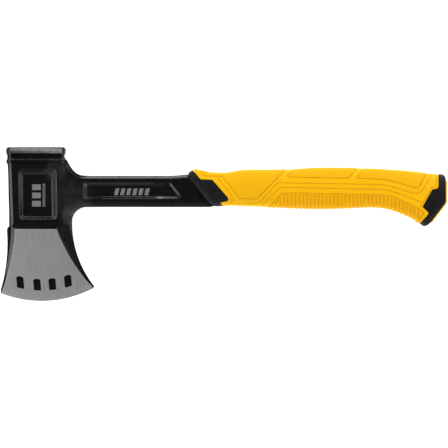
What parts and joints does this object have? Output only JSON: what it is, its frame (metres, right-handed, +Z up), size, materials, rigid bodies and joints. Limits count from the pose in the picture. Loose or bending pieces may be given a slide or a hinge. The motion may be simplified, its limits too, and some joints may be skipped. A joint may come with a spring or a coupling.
{
  "type": "camp axe",
  "caption": "Short one-piece steel camp axe with a square hammer poll, ground blade, recessed shaft and a soft moulded grip with a hooked butt.",
  "frame": {"origin": "bottom centre of the axe's box as it lies on its side", "axes": "+X from the head to the butt along the handle, +Y towards the hammer poll with the cutting edge at -Y, +Z up out of the side it lies on"},
  "size_m": [0.39, 0.1342, 0.0292],
  "materials": {
    "black_steel": "satin",
    "core_nylon": "matte",
    "black_plastic": "satin",
    "yellow_grip": "matte",
    "yellow_pad": "matte"
  },
  "bodies": {
    "root": {"axe_forging": "black_steel", "tang_core": "core_nylon", "front_collar": "black_plastic", "grip": "yellow_grip", "end_cap": "black_plastic", "butt_pad": "yellow_pad"}
  },
  "joints": []
}
